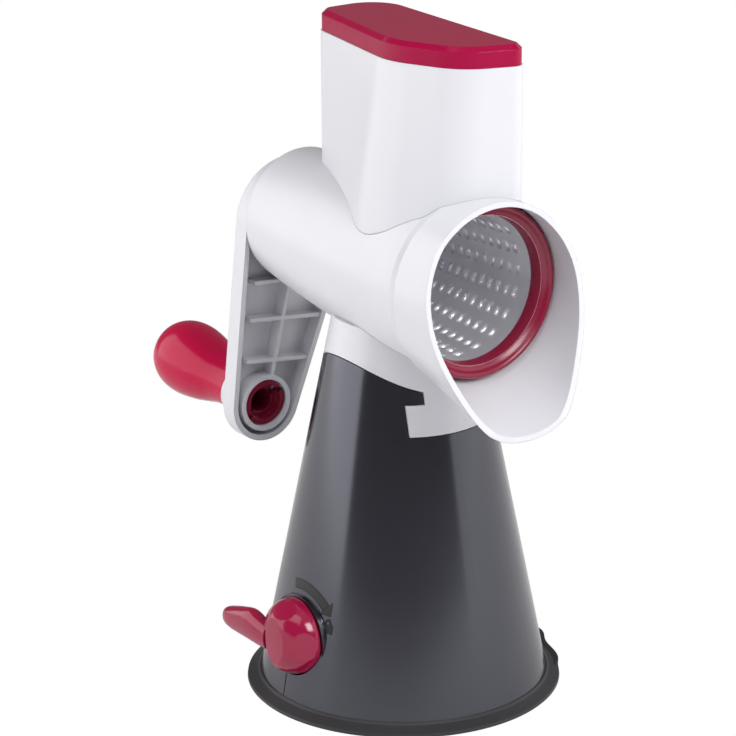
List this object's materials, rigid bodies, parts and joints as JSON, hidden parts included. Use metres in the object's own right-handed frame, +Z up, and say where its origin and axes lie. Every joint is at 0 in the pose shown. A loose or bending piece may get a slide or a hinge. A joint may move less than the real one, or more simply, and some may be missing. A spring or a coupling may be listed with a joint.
{
  "type": "rotary cabbage shredder",
  "caption": "Hand-cranked drum grater on a conical suction stand, with a tall feed hopper, a pusher with a lid, a spout-shaped bell and a suction lever.",
  "frame": {"origin": "on the worktop, where the axis of the conical stand meets it", "axes": "+Z up, +X along the drum's axis towards the mouth, -Y towards the suction lever"},
  "size_m": [0.2198, 0.1334, 0.266],
  "materials": {
    "abs_white": "satin-gloss injection-moulded ABS",
    "abs_red": "glossy dark red injection-moulded ABS",
    "abs_anthracite": "satin anthracite injection-moulded ABS",
    "rubber_dark": "matt moulded rubber",
    "stainless": "cold-rolled stainless sheet, brushed",
    "pom_white": "turned and moulded acetal",
    "steel_zinc": "zinc-plated steel"
  },
  "bodies": {
    "base": {"stand_shell": "abs_anthracite", "stand_foot": "abs_anthracite", "knob_seat": "abs_anthracite", "suction_cup": "rubber_dark", "bearing_plate": "pom_white", "plate_screws": "steel_zinc", "lever_bush": "pom_white", "housing": "abs_white", "bell": "abs_white", "hopper": "abs_white", "neck": "abs_white", "crank_bush": "pom_white"},
    "lever": {"lever_knob": "abs_red", "cam_shaft": "pom_white"},
    "stem": {"suction_stem": "pom_white"},
    "crank": {"drive_shaft": "pom_white", "shaft_clip": "steel_zinc", "crank_arm": "abs_white", "crank_cap": "abs_white"},
    "drum": {"drum_sheet": "stainless", "drum_ring": "abs_red", "drum_hub": "abs_white"},
    "handle": {"grip": "abs_red", "grip_spigot": "abs_red", "grip_cap": "abs_red"},
    "pusher": {"pusher_body": "abs_white", "pusher_lid": "abs_red"}
  },
  "joints": [
    {"name": "lever_turn", "type": "hinge", "parent": "base", "child": "lever", "pos_m": [0, -0.0505, 0.0295], "axis": [0, 1, 0], "range_deg": [0, 180]},
    {"name": "stem_lift", "type": "slide", "parent": "base", "child": "stem", "axis": [0, 0, 1], "range_m": [0, 0.005], "deforming": ["suction_cup"]},
    {"name": "crank_turn", "type": "hinge", "parent": "base", "child": "crank", "pos_m": [-0.068, 0, 0.1728], "axis": [1, 0, 0], "continuous": true},
    {"name": "drum_out", "type": "slide", "parent": "crank", "child": "drum", "axis": [1, 0, 0], "range_m": [0, 0.14]},
    {"name": "grip_turn", "type": "hinge", "parent": "crank", "child": "handle", "pos_m": [-0.08675, -0.018, 0.10033], "axis": [0.9969, 0, -0.0785], "continuous": true},
    {"name": "pusher_lift", "type": "slide", "parent": "base", "child": "pusher", "axis": [0, 0, 1], "range_m": [0, 0.055]}
  ],
  "couplings": [
    {"joint": "stem_lift", "follows": "lever_turn", "m_per_rad": 0.00159}
  ]
}
